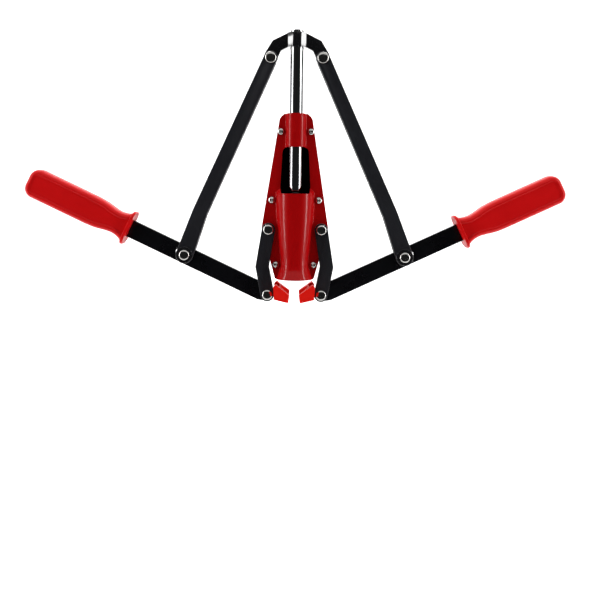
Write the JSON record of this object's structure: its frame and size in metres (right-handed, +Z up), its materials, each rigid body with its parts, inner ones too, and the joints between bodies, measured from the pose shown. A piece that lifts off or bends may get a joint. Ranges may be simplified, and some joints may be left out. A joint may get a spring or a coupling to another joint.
{
  "type": "twin lever corker",
  "caption": "Hand corker: a chrome plunger in a red pressed body, pushed down by side levers through a crosshead and long links, with jaws that close round the bottle neck.",
  "frame": {"origin": "centre of the round bottle mouth at the foot of the body, on the plunger's axis", "axes": "+Z up along the plunger, +X towards the right lever, -Y towards the cork window"},
  "size_m": [0.5638, 0.041, 0.2868],
  "materials": {
    "shell_paint": "gloss deep red",
    "plunger_chrome": "polished",
    "nickel": "nickel plated",
    "black_gloss": "gloss black",
    "black_satin": "satin black",
    "red_plastic": "moulded bright red",
    "inner_plastic": "black nylon"
  },
  "bodies": {
    "body": {"front_shell": "shell_paint", "rear_shell": "shell_paint", "cork_funnel": "inner_plastic", "guide_bush": "inner_plastic", "shell_screws": "nickel", "shell_nuts": "nickel", "left_body_rivet": "nickel", "right_body_rivet": "nickel", "left_body_spacers": "black_satin", "right_body_spacers": "black_satin"},
    "plunger": {"plunger_rod": "plunger_chrome", "crosshead_front": "black_gloss", "crosshead_rear": "black_gloss", "left_crosshead_rivet": "nickel", "right_crosshead_rivet": "nickel"},
    "left_long_link": {"left_long_link_front": "black_satin", "left_long_link_rear": "black_satin", "left_link_rivet": "nickel", "left_link_washers": "black_satin"},
    "left_short_link": {"left_short_link_front": "black_satin", "left_short_link_rear": "black_satin"},
    "left_lever": {"left_lever_bar": "black_satin", "left_grip": "red_plastic", "left_jaw": "red_plastic", "left_jaw_pin": "nickel", "left_lever_rivet": "nickel"},
    "right_long_link": {"right_long_link_front": "black_satin", "right_long_link_rear": "black_satin", "right_link_rivet": "nickel", "right_link_washers": "black_satin"},
    "right_short_link": {"right_short_link_front": "black_satin", "right_short_link_rear": "black_satin"},
    "right_lever": {"right_lever_bar": "black_satin", "right_grip": "red_plastic", "right_jaw": "red_plastic", "right_jaw_pin": "nickel", "right_lever_rivet": "nickel"}
  },
  "joints": [
    {"name": "plunger_slide", "type": "slide", "parent": "body", "child": "plunger", "axis": [0, 0, 1], "range_m": [-0.06782, 0.0217]},
    {"name": "left_long_link_pivot", "type": "hinge", "parent": "plunger", "child": "left_long_link", "pos_m": [-0.0273, 0, 0.23127], "axis": [0, 1, 0], "range_deg": [-1.07, 3.31]},
    {"name": "left_short_link_pivot", "type": "hinge", "parent": "body", "child": "left_short_link", "pos_m": [-0.0276, 0, 0.0515], "axis": [0, 1, 0], "range_deg": [-1.9, 0.62]},
    {"name": "left_lever_pivot", "type": "hinge", "parent": "left_short_link", "child": "left_lever", "pos_m": [-0.028, 0, -0.0165], "axis": [0, 1, 0], "range_deg": [-35.65, 11.42]},
    {"name": "right_long_link_pivot", "type": "hinge", "parent": "plunger", "child": "right_long_link", "pos_m": [0.0273, 0, 0.23127], "axis": [0, -1, 0], "range_deg": [-1.07, 3.31]},
    {"name": "right_short_link_pivot", "type": "hinge", "parent": "body", "child": "right_short_link", "pos_m": [0.0276, 0, 0.0515], "axis": [0, -1, 0], "range_deg": [-1.9, 0.62]},
    {"name": "right_lever_pivot", "type": "hinge", "parent": "right_short_link", "child": "right_lever", "pos_m": [0.028, 0, -0.0165], "axis": [0, -1, 0], "range_deg": [-35.65, 11.42]}
  ],
  "couplings": [
    {"joint": "left_long_link_pivot", "follows": "plunger_slide", "rad_per_m": -0.8454},
    {"joint": "left_short_link_pivot", "follows": "plunger_slide", "rad_per_m": 0.48254},
    {"joint": "left_lever_pivot", "follows": "plunger_slide", "rad_per_m": 9.1682},
    {"joint": "right_long_link_pivot", "follows": "plunger_slide", "rad_per_m": -0.8454},
    {"joint": "right_short_link_pivot", "follows": "plunger_slide", "rad_per_m": 0.48254},
    {"joint": "right_lever_pivot", "follows": "plunger_slide", "rad_per_m": 9.1682}
  ]
}
